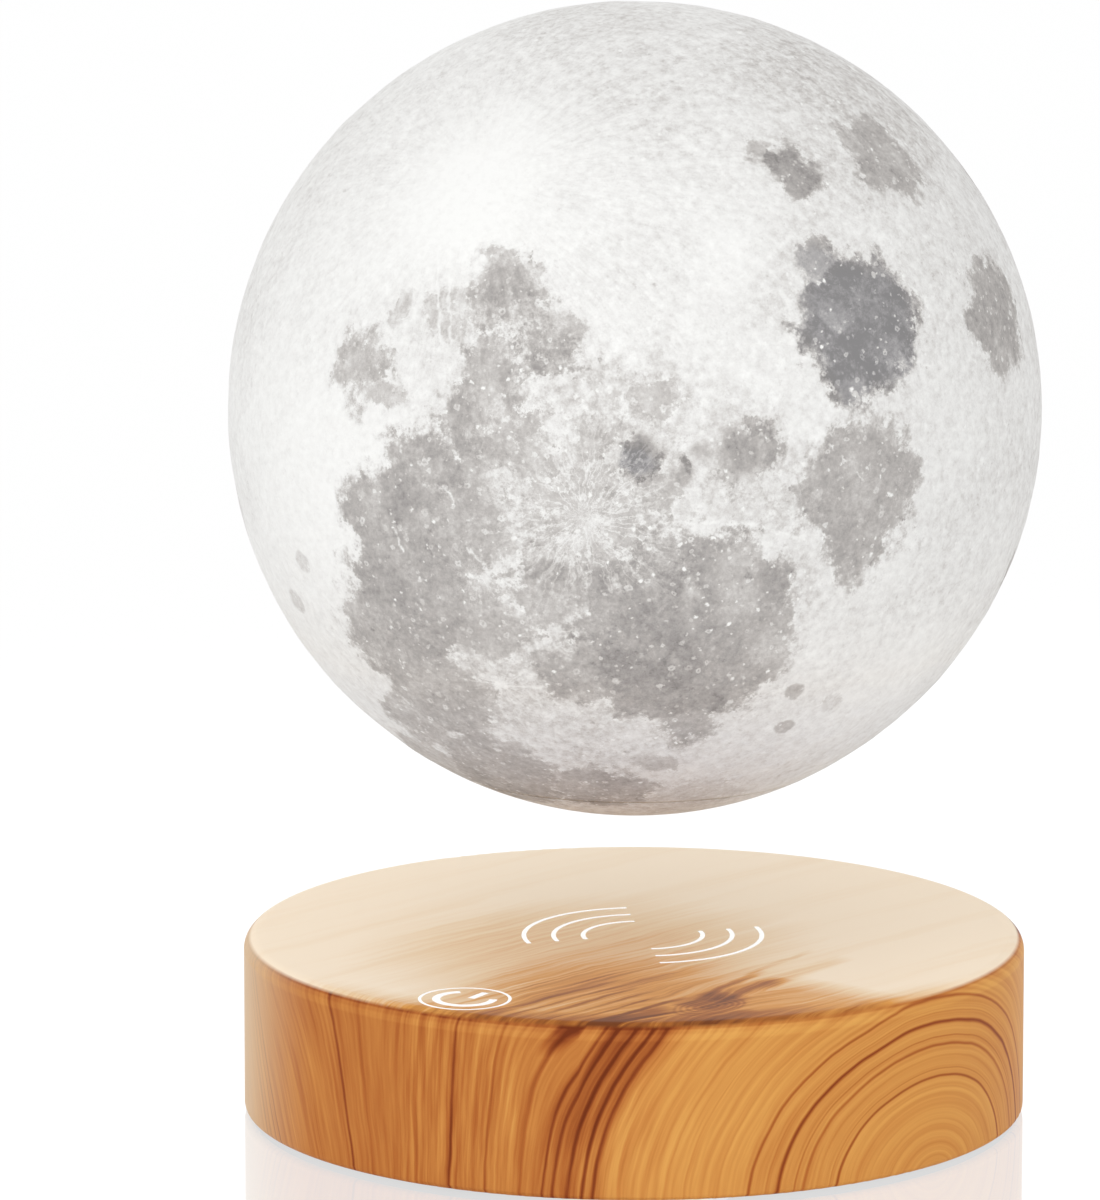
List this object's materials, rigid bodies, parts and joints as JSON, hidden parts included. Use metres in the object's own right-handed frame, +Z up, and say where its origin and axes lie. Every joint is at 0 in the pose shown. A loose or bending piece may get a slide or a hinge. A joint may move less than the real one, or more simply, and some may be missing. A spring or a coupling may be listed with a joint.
{
  "type": "levitating moon lamp",
  "caption": "Hollow printed moon globe that floats over a round wood-grain base holding levitation coils, ring magnets and a touch key.",
  "frame": {"origin": "on the table under the middle of the base, at the underside of the rubber feet, on the vertical axis that the base and the moon share", "axes": "+Z up, touch key towards -Y, power inlet towards +Y"},
  "size_m": [0.15, 0.15, 0.2075],
  "materials": {
    "wood_film": "moulded ABS with a printed wood-grain film under gloss lacquer",
    "cover_plastic": "moulded ABS, fine spark-eroded texture",
    "foot_rubber": "moulded rubber",
    "zinc_steel": "zinc-plated steel",
    "board_laminate": "glass-epoxy laminate under green solder mask",
    "chip_resin": "moulded epoxy",
    "socket_nylon": "moulded nylon",
    "can_sleeve": "aluminium can in a shrunk sleeve",
    "ferrite": "pressed ferrite",
    "jack_plastic": "moulded PBT",
    "contact_brass": "gold-flashed brass",
    "bobbin_nylon": "moulded nylon",
    "enamelled_copper": "enamelled copper wire, wound",
    "core_iron": "turned soft iron",
    "magnet_nickel": "nickel-plated sintered magnet",
    "tray_plastic": "moulded ABS",
    "carrier_plastic": "moulded polycarbonate",
    "lead_insulation": "PVC insulation",
    "moon_print": "printed PLA with a printed map",
    "cap_plastic": "moulded ABS",
    "led_laminate": "laminate under white solder mask",
    "led_phosphor": "silicone with phosphor"
  },
  "bodies": {
    "base": {"wood_casing": "wood_film", "bottom_cover": "cover_plastic", "cover_screws": "zinc_steel", "rubber_feet": "foot_rubber", "control_board": "board_laminate", "board_screws": "zinc_steel", "board_chips": "chip_resin", "board_sockets": "socket_nylon", "power_capacitors": "can_sleeve", "power_inductors": "ferrite", "dc_jack": "jack_plastic", "jack_pin": "contact_brass", "coil_bobbins": "bobbin_nylon", "coil_windings": "enamelled_copper", "coil_cores": "core_iron", "coil_screws": "zinc_steel", "magnet_tray": "tray_plastic", "ring_magnets": "magnet_nickel", "tray_screws": "zinc_steel", "hall_board": "board_laminate", "hall_pins": "contact_brass", "hall_sensors": "chip_resin", "transmit_coil": "enamelled_copper", "coil_carrier": "carrier_plastic", "transmit_leads": "lead_insulation", "touch_board": "board_laminate", "touch_chip": "chip_resin", "touch_leads": "lead_insulation"},
    "floater": {"levitation_magnet": "magnet_nickel", "magnet_backing": "zinc_steel"},
    "moon": {"globe_shell": "moon_print", "globe_cap": "cap_plastic", "receiver_coil": "enamelled_copper", "ferrite_ring": "ferrite", "receiver_board": "board_laminate", "receiver_screws": "zinc_steel", "receiver_chips": "chip_resin", "receiver_capacitor": "can_sleeve", "receiver_leads": "enamelled_copper", "led_board": "led_laminate", "led_spacers": "contact_brass", "led_screws": "zinc_steel", "leds": "led_phosphor", "led_leads": "lead_insulation"}
  },
  "joints": [
    {"name": "moon_lift", "type": "slide", "parent": "base", "child": "floater", "axis": [0, 0, 1], "range_m": [-0.0235, 0.1], "stiffness_N_per_m": 80, "springref_m": 0.02986},
    {"name": "moon_spin", "type": "hinge", "parent": "floater", "child": "moon", "pos_m": [0, 0, 0.1325], "axis": [0, 0, 1], "continuous": true}
  ]
}
